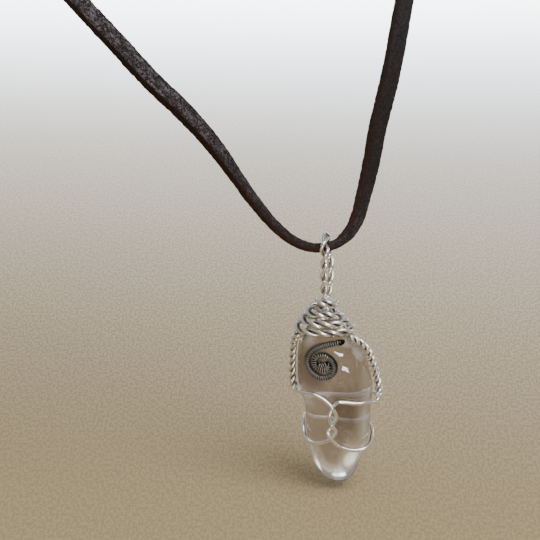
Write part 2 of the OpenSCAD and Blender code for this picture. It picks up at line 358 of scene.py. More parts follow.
class Nodes:
    """A node tree, with one method for every node."""

    def __init__(self, tree: bpy.types.NodeTree) -> None:
        """Takes the tree that nodes are added to."""
        self.tree = tree

    def node(self, kind: str, settings: dict | None = None, **inputs: object) -> bpy.types.Node:
        """Adds one node.

        Args:
            kind: the node's type.
            settings: its options, set before its inputs; stops holds the stops of a ramp.
            inputs: values or links by socket name, with _ for a space, or _0, _1 for a socket's number.

        Returns:
            The new node.
        """
        node = self.tree.nodes.new(kind)
        for key, value in (settings or {}).items():
            if key == "stops":
                ramp = node.color_ramp.elements
                while len(ramp) < len(value):
                    ramp.new(0.5)
                for element, (place, colour) in zip(ramp, value):
                    element.position = place
                    element.color = (*colour, 1.0)
            else:
                setattr(node, key, value)
        for key, value in inputs.items():
            self.put(node, int(key[1:]) if key[0] == "_" else key.replace("_", " "), value)
        return node

    def put(self, node: bpy.types.Node, key: int | str, value: object) -> None:
        """Links or sets one input of a node.

        Args:
            node: the node.
            key: the input's name or number.
            value: a number, a colour or a vector, or the output to link.
        """
        socket = node.inputs[key]
        if isinstance(value, Varying):
            self.tree.links.new(value.socket, socket)
        elif isinstance(value, bpy.types.NodeSocket):
            self.tree.links.new(value, socket)
        elif isinstance(value, (tuple, list)) and socket.type == "RGBA":
            socket.default_value = (*value, 1.0)
        else:
            socket.default_value = value

    def ease(self, value: "Varying", low: float, high: float, start: float = 0.0, end: float = 1.0) -> "Varying":
        """Eases a number between two places.

        Args:
            value: the number looked at.
            low: where the step starts, on either side of high.
            high: where the step ends.
            start: the result at low.
            end: the result at high.

        Returns:
            The eased number, held past both places.
        """
        node = self.node("ShaderNodeMapRange", {"interpolation_type": "SMOOTHSTEP"}, Value=value, From_Min=low,
                         From_Max=high, To_Min=start, To_Max=end)
        return Varying(self, node.outputs[0])

    def within(self, value: "Varying", run: Row, end: float = 0.0) -> "Varying":
        """Shows a tint or a wear over one run.

        Args:
            value: the number looked at.
            run: where it starts to show, is full, starts to fade and has faded.
            end: what is left where it has faded.

        Returns:
            The share, from 0 to 1.
        """
        shows, full, fades, faded = run
        return self.ease(value, shows, full) * self.ease(value, fades, faded, 1.0, end)

    def blend(self, share: Number, first: object, second: object, how: str = "MIX") -> bpy.types.NodeSocket:
        """Mixes two colours by a share."""
        node = self.node("ShaderNodeMix", {"data_type": "RGBA", "blend_type": how}, _0=share, _6=first, _7=second)
        return node.outputs[2]


class Shading(Nodes):
    """The node tree of a new material."""

    def __init__(self, name: str) -> None:
        """Makes an empty material with its shader and output.

        Args:
            name: the material's name.
        """
        self.material = bpy.data.materials.new(name)
        self.material.use_nodes = True
        super().__init__(self.material.node_tree)
        self.tree.nodes.clear()
        self.shader = self.node("ShaderNodeBsdfPrincipled")
        self.output = self.node("ShaderNodeOutputMaterial", None, Surface=self.shader.outputs[0])

    def surface(self, **inputs: object) -> None:
        """Sets the shader's sockets, by name with _ for a space."""
        for key, value in inputs.items():
            self.put(self.shader, key.replace("_", " "), value)

    def lay_highlight(self, share: "Varying", colour: Row) -> None:
        """Lays a pale, diffuse veil over the surface, used as a painted highlight.

        Args:
            share: how much of the veil shows.
            colour: the veil's colour.
        """
        highlight_white = self.node("ShaderNodeBsdfPrincipled", None, Base_Color=colour, Roughness=0.3)
        mix = self.node("ShaderNodeMixShader", None, _0=share, _1=self.shader.outputs[0], _2=highlight_white.outputs[0])
        self.put(self.output, "Surface", mix.outputs[0])

    def lay(self) -> bpy.types.NodeSocket:
        """Flat coordinates of the surface in millimetres: along, across, thick."""
        return self.node("ShaderNodeAttribute", {"attribute_name": "lay"}).outputs["Vector"]

    def place(self) -> bpy.types.NodeSocket:
        """The piece's own coordinates."""
        return self.node("ShaderNodeTexCoord").outputs["Object"]

    def scaled(self, vector: bpy.types.NodeSocket, scale: Row) -> bpy.types.NodeSocket:
        """A vector times a scale along each axis."""
        return self.node("ShaderNodeVectorMath", {"operation": "MULTIPLY"}, _0=vector, _1=tuple(scale)).outputs[0]

    def shifted(self, vector: bpy.types.NodeSocket, shift: bpy.types.NodeSocket,
                amount: float) -> bpy.types.NodeSocket:
        """Moves a vector by a pattern.

        Args:
            vector: the vector.
            shift: the pattern's colour, from 0 to 1, with no move at one half.
            amount: how far a whole step of the colour moves it.

        Returns:
            The moved vector.
        """
        centred = self.node("ShaderNodeVectorMath", {"operation": "SUBTRACT"}, _0=shift, _1=(0.5, 0.5, 0.5))
        node = self.node("ShaderNodeVectorMath", {"operation": "MULTIPLY_ADD"}, _0=centred.outputs[0],
                         _1=(amount,) * 3, _2=vector)
        return node.outputs[0]

    def split(self, vector: bpy.types.NodeSocket) -> tuple["Varying", "Varying", "Varying"]:
        """The three parts of a vector as numbers."""
        node = self.node("ShaderNodeSeparateXYZ", None, Vector=vector)
        return tuple(Varying(self, out) for out in node.outputs)

    def joined(self, x: Number, y: Number, z: Number) -> bpy.types.NodeSocket:
        """A vector from three numbers."""
        return self.node("ShaderNodeCombineXYZ", None, _0=x, _1=y, _2=z).outputs[0]

    def clouds(self, vector: bpy.types.NodeSocket, scale: float, detail: float = 3.0,
               roughness: float = 0.5) -> "Varying":
        """Soft noise from 0 to 1."""
        node = self.node("ShaderNodeTexNoise", None, Vector=vector, Scale=scale, Detail=detail, Roughness=roughness)
        return Varying(self, node.outputs[0])

    def drift(self, vector: bpy.types.NodeSocket, scale: float) -> bpy.types.NodeSocket:
        """Noise in three colours, for shifting another pattern."""
        return self.node("ShaderNodeTexNoise", None, Vector=vector, Scale=scale, Detail=2.0).outputs["Color"]

    def relief(self, height: "Varying", distance: float, strength: float) -> bpy.types.NodeSocket:
        """Bump from a height."""
        return self.node("ShaderNodeBump", None, Height=height, Distance=distance, Strength=strength).outputs[0]


class Varying:
    """A number that varies over a surface, with Python's operators."""

    def __init__(self, nodes: Nodes, socket: bpy.types.NodeSocket) -> None:
        """Wraps one output socket."""
        self.nodes = nodes
        self.socket = socket

    def _math(self, operation: str, first: Number, second: Number) -> "Varying":
        """Adds a Math node for one operation."""
        node = self.nodes.node("ShaderNodeMath", {"operation": operation}, _0=first, _1=second)
        return Varying(self.nodes, node.outputs[0])

    def __add__(self, other: Number) -> "Varying":
        """self + other"""
        return self._math("ADD", self, other)

    def __radd__(self, other: Number) -> "Varying":
        """other + self"""
        return self._math("ADD", other, self)

    def __sub__(self, other: Number) -> "Varying":
        """self - other"""
        return self._math("SUBTRACT", self, other)

    def __rsub__(self, other: Number) -> "Varying":
        """other - self"""
        return self._math("SUBTRACT", other, self)

    def __mul__(self, other: Number) -> "Varying":
        """self * other"""
        return self._math("MULTIPLY", self, other)

    def __rmul__(self, other: Number) -> "Varying":
        """other * self"""
        return self._math("MULTIPLY", other, self)

    def __truediv__(self, other: Number) -> "Varying":
        """self / other"""
        return self._math("DIVIDE", self, other)

    def higher(self, other: Number) -> "Varying":
        """The greater of this and another number."""
        return self._math("MAXIMUM", self, other)


@dataclass(frozen=True)
class Leather:
    """Dark brown lace leather: a worn, grained face with painted sheen, and brown cut edges.

    Lengths along the lace are in millimetres: the worn face is painted lightest, as sheen, over the lit run and on
    the lace's inner side, less over the pinched run at the bail, and the soft run is browner and more matt.
    """

    face: Row = (0.026, 0.020, 0.021)
    low: Row = (0.017, 0.009, 0.006)
    worn_and_sheen: Row = (0.300, 0.252, 0.290)
    edge: Row = (0.020, 0.008, 0.005)
    fibre: Row = (0.072, 0.027, 0.017)
    crack: Row = (0.005, 0.004, 0.004)
    half_width: float = 1.6
    half_thickness: float = 0.9
    lit_run: Row = (20.0, 80.0, 190.0, 238.0)
    pinched_run: Row = (244.0, 262.0)
    soft_run: Row = (186.0, 226.0, 262.0, 300.0)

    def material(self) -> bpy.types.Material:
        """Lays the leather's face and edges out along the lace.

        Returns:
            The leather's material.
        """
        s = Shading("lace_leather")
        along, across, thick = s.split(s.lay())
        flat = s.joined(along, across * self.half_width, thick * self.half_thickness)
        bent = s.shifted(flat, s.drift(flat, 0.7), 1.1)
        face = s.ease(thick, 0.6, 0.93)
        folds = s.clouds(s.scaled(bent, (0.75, 1.0, 1.0)), 1.15, 3.0, 0.6) - 0.5
        lines = s.clouds(s.scaled(bent, (1.9, 1.5, 1.5)), 1.6, 3.0, 0.6) - 0.5
        grain = s.clouds(s.scaled(flat, (1.0, 1.3, 1.3)), 5.5, 3.0, 0.7)
        fine = s.clouds(s.scaled(flat, (0.5, 1.6, 1.6)), 3.0, 4.0, 0.7)
        crackle = s.ease(folds * folds, 0.0001, 0.0022) * s.ease(lines * lines, 0.0, 0.0012, 0.35, 1.0)
        patches = s.ease(s.clouds(s.scaled(flat, (0.35, 0.7, 0.7)), 1.0, 2.0), 0.36, 0.6)
        # Painted sheen: the worn face is lighter over the lit run and on the lace's inner side, where light falls;
        # the crackle, patches and grain are the leather's own wear.
        lit = s.within(along, self.lit_run, 0.3) * s.ease(along, *self.pinched_run, 1.0, 0.12)
        inner = s.ease(across, 0.5, 0.85, 1.0, 0.2)
        worn_and_sheen = lit * inner * (0.35 + 0.65 * patches) * crackle * s.ease(grain, 0.36, 0.62, 0.12, 1.0)
        worn_and_sheen = worn_and_sheen * s.ease(fine, 0.3, 0.6, 0.4, 1.0)
        low = s.within(along, self.soft_run)
        top = s.blend(crackle, self.crack, s.blend(low, self.face, self.low))
        top = s.blend(worn_and_sheen, top, self.worn_and_sheen)
        fibres = s.clouds(s.scaled(flat, (0.9, 5.0, 5.0)), 1.6, 4.0, 0.7)
        cut = s.blend(s.ease(fibres, 0.42, 0.72), self.edge, self.fibre)
        colour = s.blend(face, cut, top)
        rough = 0.66 - 0.2 * worn_and_sheen + 0.14 * (1 - face) + 0.14 * low
        height = (crackle * (0.2 + 0.8 * lit) + 0.45 * grain) * face + 0.8 * fibres * (1 - face)
        s.surface(Base_Color=colour, Roughness=rough, Specular_IOR_Level=0.28,
                  Normal=s.relief(height, 0.00018, 0.8))
        return s.material


@dataclass(frozen=True)
class Silver:
    """Bright silver wire with a little tarnish in random spots and painted shade in its grooves."""

    name: str = "silver_wire"
    bright: Row = (0.95, 0.93, 0.905)
    dull: Row = (0.15, 0.13, 0.115)
    radius: float = 0.33
    roughness: float = 0.14
    grooved: bool = True
    painted_glow: Row = (0.42, 0.39, 0.36)
    to_middle: float = 0.0653

    def material(self) -> bpy.types.Material:
        """The wire's material, with drawing lines along it.

        A plain wire glows a little behind the stone, painted light that stands in for the light the stone gathers
        there.
        How deep a point lies is in metres from the pendant's middle.

        Returns:
            The material.
        """
        s = Shading(self.name)
        lay = s.lay()
        _along, out, _round = s.split(lay)
        spots = s.clouds(s.scaled(lay, (0.9, 2.2, 2.2)), 1.1, 3.0, 0.6)
        lines = s.clouds(s.scaled(lay, (0.5, 9.0, 9.0)), 1.5, 2.0)
        dull = s.ease(spots, 0.52, 0.78, 0.0, 0.45)
        # Painted shade: in a twisted pair, the side of each strand that faces its partner is darkened.
        if self.grooved:
            dull = dull.higher(s.ease(out, 0.3 * self.radius, -0.7 * self.radius, 0.0, 0.95))
        s.surface(Base_Color=s.blend(dull, self.bright, self.dull), Metallic=1.0,
                  Roughness=self.roughness + 0.1 * spots + 0.16 * dull,
                  Normal=s.relief(0.6 * lines + 0.4 * spots, 0.00002, 0.25))
        # Painted light: plain wires glow where they lie behind the stone.
        if not self.grooved:
            x, y, _z = s.split(s.place())
            deep = SIN_TURN * x + COS_TURN * y + self.to_middle
            light = s.blend(s.ease(deep, 0.0022, 0.0042), (0.0, 0.0, 0.0), self.painted_glow)
            s.surface(Emission_Color=light, Emission_Strength=1.0)
        return s.material


@dataclass(frozen=True)
class DarkWire:
    """Blackened wire, worn brighter where its windings stand out, with painted highlight where those crests face the
    front.
    """

    deep: Row = (0.004, 0.004, 0.004)
    worn_and_sheen: Row = (0.97, 0.95, 0.91)
    radius: float = 0.1

    def material(self) -> bpy.types.Material:
        """Blackens the wire and wears its crests, which also carries their painted highlight.

        Returns:
            The coil's material.
        """
        s = Shading("dark_wire")
        lay = s.lay()
        _along, out, _round = s.split(lay)
        spots = s.clouds(s.scaled(lay, (0.8, 2.0, 2.0)), 1.3, 3.0, 0.6)
        # Worn crests with painted highlight: the crests that face the front come out brightest.
        wear_and_highlight = s.ease(out, 0.78 * self.radius, self.radius) * (0.4 + 0.6 * s.ease(spots, 0.3, 0.6))
        s.surface(Base_Color=s.blend(wear_and_highlight, self.deep, self.worn_and_sheen), Metallic=wear_and_highlight, Roughness=0.6 - 0.36 * wear_and_highlight,
                  Specular_IOR_Level=0.04, Normal=s.relief(spots, 0.00003, 0.4))
        return s.material


@dataclass(frozen=True)
class Quartz:
    """Clear polished quartz, darkened by painted shade in its body, with painted highlights as pale veils and a pale
    band on the right, and clear at its tip.

    The tints follow the stone's own place, kept with its mesh in millimetres: across, deep and up. A highlight veil
    is the middle across and up, half length, half width, turn in degrees and strength. The other rows of places
    say where a tint starts to show and is full, and then, where they go on, starts to fade and has faded.
    """

    # The smoky tint, the shade, the heart and the rim are painted shade; the edge tint is painted light along the
    # right edge and also the stone's own clouding.
    smoky_shade: Row = (0.52, 0.475, 0.48)
    shade: Row = (0.195, 0.165, 0.172)
    heart_shade: Row = (0.26, 0.225, 0.215)
    clear: Row = (0.93, 0.91, 0.885)
    rim: Row = (0.66, 0.60, 0.54)
    edge: Row = (0.80, 0.76, 0.71)
    highlight_white: Row = (0.99, 0.985, 0.97)
    highlight_veils: Sequence[Row] = ((-3.3, -15.9, 1.7, 1.6, 0, 0.26), (6.2, -16.9, 1.9, 0.5, -62, 0.30),
                            (4.1, -16.6, 1.7, 0.9, 0, 0.16), (5.9, -18.6, 2.0, 0.9, -62, 0.22),
                            (4.7, -38.2, 2.0, 1.15, 68, 0.95),
                            (-1.75, -36.9, 2.3, 0.32, -66, 0.75), (1.2, -39.9, 1.9, 0.6, -10, 0.16))
    heart_across: Row = (0.8, 2.4, 4.6, 6.2)
    heart_up: Row = (-37.5, -30.0, -28.5, -25.5)
    shade_across: Row = (1.8, -1.2)
    shade_up: Row = (-26.5, -23.5, -20.0, -17.5)
    edge_across: Row = (6.0, 7.3)
    slant: float = 0.35
    left_slope: Row = (-12.6, -13.6)
    right_slope: Row = (15.9, 17.0)
    slopes_up: Row = (-34.0, -37.0)
    clear_up: Row = (-39.0, -41.0)
    rim_up: Row = (-38.9, -40.2)
    rim_gap: Row = (1.6, 2.3, 3.2, 3.9)
    pale_band_across: Row = (5.4, 7.2)
    pale_band_up: Row = (-36.0, -33.0, -28.5, -25.0)
    frosted_up: Row = (-36.5, -39.5)

    def material(self) -> bpy.types.Material:
        """Tints the stone and lays its veils.

        Returns:
            The stone's material.
        """
        s = Shading("quartz")
        lay = s.lay()
        across, deep, up = s.split(lay)
        cloud = s.clouds(s.scaled(s.shifted(lay, s.drift(lay, 0.16), 4.0), (1.0, 1.0, 0.45)), 0.26, 4.0, 0.6)
        swell = s.clouds(lay, 0.19, 2.0)
        wander = 1.2 * (s.clouds(lay, 0.3, 2.0) - 0.5)
        # Painted shade: a darker heart low on the right and a shaded band over the lower wires on the left, over the
        # smoky tint, which is painted shade too.
        heart_shade = s.ease(up + wander, *self.heart_up[:2]) * s.ease(up, *self.heart_up[2:], 1.0, 0.1)
        heart_shade = heart_shade * s.ease(across + wander, *self.heart_across[:2])
        heart_shade = heart_shade * s.ease(across, *self.heart_across[2:], 1.0, 0.0)
        shade = s.within(up + wander, self.shade_up) * s.ease(across + wander, *self.shade_across)
        body = s.blend(heart_shade, self.smoky_shade, self.heart_shade)
        body = s.blend(shade, body, self.shade)
        # Painted light: a paler band along the right edge; the slopes and tip are left clear, without the painted
        # shade.
        body = s.blend(s.ease(across + 0.5 * wander, *self.edge_across, 0.0, 0.9), body, self.edge)
        left, right = across + self.slant * up, across - self.slant * up
        slopes = s.ease(left, *self.left_slope).higher(s.ease(right, *self.right_slope))
        ends = (s.ease(up, *self.slopes_up) * slopes).higher(s.ease(up, *self.clear_up))
        body = s.blend(ends, body, self.clear)
        # Painted shade along the bottom rim, left open where the tip's painted highlight shows.
        rim = s.ease(up + 0.3 * wander, *self.rim_up) * (1 - s.within(across, self.rim_gap))
        body = s.blend(rim, body, self.rim)
        tint = s.blend(s.ease(cloud, 0.55, 0.78, 0.0, 0.3), body, self.edge)
        rough = s.ease(cloud, 0.45, 0.8, 0.015, 0.05) + s.ease(up, *self.frosted_up, 0.0, 0.2)
        s.surface(Base_Color=tint, Roughness=rough, IOR=1.545, Transmission_Weight=1.0,
                  Normal=s.relief(swell, 0.0004, 0.25))
        # Painted highlights: pale veils where light glances off the stone, and a pale band down the right side.
        highlight_share = sum((self.highlight_patch(s, across + 0.3 * wander, up + 0.3 * wander, row) for row in self.highlight_veils), 0.0)
        side = s.ease(across + 0.4 * wander, *self.pale_band_across, 0.0, 0.26)
        highlight_share = highlight_share + side * s.within(up, self.pale_band_up, 0.25)
        s.lay_highlight(s.ease(deep, 0.6, -1.4) * highlight_share, self.highlight_white)
        return s.material

    @staticmethod
    def highlight_patch(s: Shading, across: "Varying", up: "Varying", row: Row) -> "Varying":
        """Lays one soft, pale veil inside the stone, as a painted highlight.

        Args:
            s: the stone's shading.
            across: place across the stone.
            up: place up the stone.
            row: the veil's row.

        Returns:
            The share, 0 away from the veil.
        """
        x, z, length, width, turn, strength = row
        c, n = math.cos(math.radians(turn)), math.sin(math.radians(turn))
        u = (c * (across - x) + n * (up - z)) / length
        v = (c * (up - z) - n * (across - x)) / width
        return s.ease(u * u + v * v, 0.0, 1.6, strength, 0.0)


@dataclass(frozen=True)
class Plating:
    """Satin silver plating of the clasp."""

    bright: Row = (0.83, 0.82, 0.80)
    dull: Row = (0.52, 0.49, 0.45)

    def material(self) -> bpy.types.Material:
        """Brushes the plating round the barrel.

        Returns:
            The clasp's material.
        """
        s = Shading("clasp_plating")
        place = s.place()
        brush = s.clouds(s.scaled(place, (9.0, 1.0, 1.0)), 900.0, 3.0, 0.6)
        spots = s.clouds(place, 420.0, 3.0, 0.6)
        dull = s.ease(spots, 0.5, 0.75, 0.0, 0.5)
        s.surface(Base_Color=s.blend(dull, self.bright, self.dull), Metallic=1.0,
                  Roughness=0.24 + 0.12 * brush + 0.1 * dull, Normal=s.relief(brush, 0.00002, 0.4))
        return s.material


@dataclass(frozen=True)
class FloorPaint:
    """Plain pale floor, with painted shade: warmer and darker towards the front, paler far off."""

    far: Row = (0.88, 0.915, 0.96)
    middle: Row = (0.86, 0.74, 0.60)
    near: Row = (0.49, 0.385, 0.205)
    gap: Row = (0.30, 0.24, 0.14)

    def material(self) -> bpy.types.Material:
        """Shades the floor from the front to the back.

        Returns:
            The floor's material.
        """
        s = Shading("plain_floor")
        place = s.place()
        x, y, _z = s.split(place)
        side, level = COS_TURN * x - SIN_TURN * y, COS_TURN * y + SIN_TURN * x
        away = level + 0.25 * side
        # Painted shade and light: darker and warmer near the front, paler and cooler beyond.
        shaded_paint = s.blend(s.ease(away, -0.07, 0.12), self.near, self.middle)
        shaded_paint = s.blend(s.ease(away, 0.06, 0.30), shaded_paint, self.far)
        grain = s.clouds(s.joined(side, 0.36 * level, 0.0), 2400.0, 1.0)
        weave = s.ease(grain, 0.4, 0.6) * s.ease(away, -0.02, 0.26, 0.55, 0.2)
        s.surface(Base_Color=s.blend(weave, shaded_paint, self.gap), Roughness=0.85, Normal=s.relief(grain, 0.0002, 0.4))
        return s.material


@dataclass
class LeatherLace:
    """The flat lace: from the clasp's left socket down to the bail and up to the right socket."""

    width: float = 3.2
    thickness: float = 1.8
    pinched: float = 1.5
    roughness: float = 0.085
    per_corner: int = 4
    clasp_length: float = 17.0
    socket: float = 5.3
    right: Sequence[Row] = ((1.3, 0.1, -0.3), (2.5, 0.1, -0.1), (3.7, 0.4, 0.4), (5, 0.8, 1), (6.1, 1.3, 1.8),
                            (7.8, 2.3, 3.5), (9.4, 3.7, 5.8), (11.3, 5.4, 8.4), (13.2, 7.2, 11.3),
                            (15.9, 10, 15.6), (18.5, 12.4, 19.2), (21.1, 14.8, 22.7), (23.9, 17.6, 26.9),
                            (26.7, 20.6, 31.2), (29.5, 23.6, 35.2))
    left: Sequence[Row] = ((0, 0, -0.4), (-1.4, 0, -0.3), (-2.4, 0.1, -0.1), (-3.6, 0.3, 0.3), (-5, 0.7, 1),
                           (-6.6, 1.5, 2.2), (-8.8, 3, 4.7), (-11, 5.1, 8.2), (-12.6, 7, 11.3),
                           (-14.6, 9.4, 15.2), (-16.8, 11.8, 18.9), (-19.7, 14.5, 22.8), (-22.5, 16.9, 26.1),
                           (-24.9, 19.2, 29.3), (-27.2, 21.5, 32.6), (-29.6, 23.9, 35.9), (-32.3, 26.7, 39.7))
    neck: Sequence[Row] = ((37, 31.5, 46.5), (44.5, 42, 59.5), (51, 55, 75), (56, 69.5, 91.5), (58.5, 84, 105.5),
                           (57.5, 98, 116), (52, 111.5, 124), (42, 122.5, 129.5), (28, 129.5, 133), (14, 132, 134))
    lie: Sequence[Row] = ((0, 0, 0), (0.2, 0, 0), (0.36, -30, 0), (0.415, -30, 0), (0.439, -30, 0.1),
                          (0.459, -30, 0.5), (0.477, -32, 0.78), (0.495, -35, 1), (0.5035, -28, 1),
                          (0.508, 2, 0.8), (0.513, 11, 0.62), (0.526, 12, 0.38), (0.542, 8, 0.16),
                          (0.554, 4, 0.1), (0.575, -9, 0), (0.6, -15, 0), (0.8, 0, 0), (1, 0, 0))

    def route(self) -> Path:
        """Lays out the lace's middle line.

        Returns:
            The line in the frame of the part.
        """
        end = self.clasp_length / 2 - self.socket + 0.3
        rows = [(-end, NAPE.y, NAPE.z), *((-x, y, z) for x, y, z in reversed(self.neck)), *reversed(self.left),
                *self.right, *self.neck, (end, NAPE.y, NAPE.z)]
        return Path([HANG + p for p in curve_rows(rows, 12)]).spaced(0.3)

    def frames(self, path: Path) -> list[Frame3]:
        """Frames whose up vector leaves the neck, as the lace's face does.

        Args:
            path: the lace's middle line.

        Returns:
            A point, a side vector and an up vector for each place.
        """
        out = []
        for point, along in zip(path.points, path.directions()):
            away = Vector((point.x, point.y, 0.45 * math.hypot(point.x, point.y)))
            away = (away - away.dot(along) * along).normalized()
            out.append((point, away.cross(along), away))
        return out

    def build(self, material: bpy.types.Material) -> bpy.types.Object:
        """Makes the lace.

        Args:
            material: the leather.

        Returns:
            The lace's object.
        """
        path = self.route()
        frames, whole = self.frames(path), path.length()
        runs, lie = path.runs(), Table(self.lie)

        def flat(i: int) -> list[Row]:
            """Draws one ring before it is turned, with soft cut corners and small hand-cut swellings.

            Args:
                i: the ring's number.

            Returns:
                The outline.
            """
            share = runs[i] / whole
            squeeze = min(max(lie.at(share, 2), 0.0), 1.0)
            w = self.width + squeeze * (self.pinched - self.width) + 0.09 * noise_at(1, runs[i], 0.22)
            t = self.thickness + squeeze * (self.pinched - self.thickness) + 0.06 * noise_at(2, runs[i], 0.3)
            r, x, y = (0.2 + 0.2 * squeeze) * min(w, t), w / 2, t / 2
            points = []
            for c, (sx, sy) in enumerate(CORNERS):
                near = r + self.roughness * noise_at(7 + c, runs[i], 2.3)
                for k in range(self.per_corner):
                    a = math.radians(90 * c + 90 * k / (self.per_corner - 1))
                    points.append((sx * (x - r) + near * math.cos(a), sy * (y - r) + near * math.sin(a)))
                nx, ny = CORNERS[(c + 1) % 4]
                out_x, out_y = (sx * r, 0) if c % 2 else (0, sy * r)
                for m in (1 / 3, 2 / 3):
                    points.append((out_x + (x - r) * (sx + (nx - sx) * m), out_y + (y - r) * (sy + (ny - sy) * m)))
            return points

        def turned(i: int) -> list[Row]:
            """Turns one ring as the lace lies.

            Args:
                i: the ring's number.

            Returns:
                The outline.
            """
            a = math.radians(lie.at(runs[i] / whole, 1))
            c, s = math.cos(a), math.sin(a)
            return [(x * c - y * s, x * s + y * c) for x, y in flat(i)]

        def laid(i: int) -> list[Row]:
            """Gives one ring its flat coordinates.

            Args:
                i: the ring's number.

            Returns:
                Across and thick, each from -1 to 1.
            """
            outline = flat(i)
            half, thick = max(x for x, _y in outline), max(y for _x, y in outline)
            return [(x / half, y / thick) for x, y in outline]

        maker = MeshMaker()
        maker.tube(frames, turned, laid)
        return maker.finish("lace", "leather_lace", material, Body.NECKLACE, Matrix.Identity(4))


@dataclass
class BarrelClasp:
    """The barrel at the nape, in two halves that meet at a middle ring."""

    length: float = 17.0
    diameter: float = 5.2
    mouth: float = 3.8
    socket: float = 5.3
    rim: float = 0.5
    bevel: float = 0.12

    def build(self, material: bpy.types.Material) -> bpy.types.Object:
        """Turns the barrel from its half profile.

        Args:
            material: the plating.

        Returns:
            The clasp's object.
        """
        half, r, body, bevel = self.length / 2, self.diameter / 2, self.diameter / 2 - self.rim / 2, self.bevel
        hole, deep = self.mouth / 2, half - self.socket
        # Out of the socket, round the mouth, over the raised band and up to the ring in the middle.
        profile = [(deep, 0.0), (deep, hole), (half - bevel, hole), (half, hole + bevel), (half, body - bevel),
                   (half - bevel, body), (half - 0.5, body), (half - 0.58, r - 0.08), (half - 0.7, r),
                   (half - 1.7, r), (half - 1.82, r - 0.08), (half - 1.9, body), (1.3, body), (1.2, r - 0.1),
                   (1.08, r), (0.16, r), (0.05, r - 0.1)]
        profile = profile + [(-x, y) for x, y in reversed(profile)]
        maker = MeshMaker()
        bm = maker.bm
        verts = [bm.verts.new((x, y, 0.0)) for x, y in profile]
        edges = [bm.edges.new(pair) for pair in zip(verts, verts[1:])]
        bmesh.ops.spin(bm, geom=verts + edges, axis=(1, 0, 0), cent=(0, 0, 0), angle=math.tau, steps=72,
                       use_merge=True, use_duplicate=False)
        bmesh.ops.remove_doubles(bm, verts=bm.verts, dist=1e-4)
        obj = maker.finish("barrel_clasp", "clasp", material, Body.NECKLACE,
                           Matrix.Translation(HANG + NAPE))
        obj.data.set_sharp_from_angle(angle=math.radians(35))
        return obj


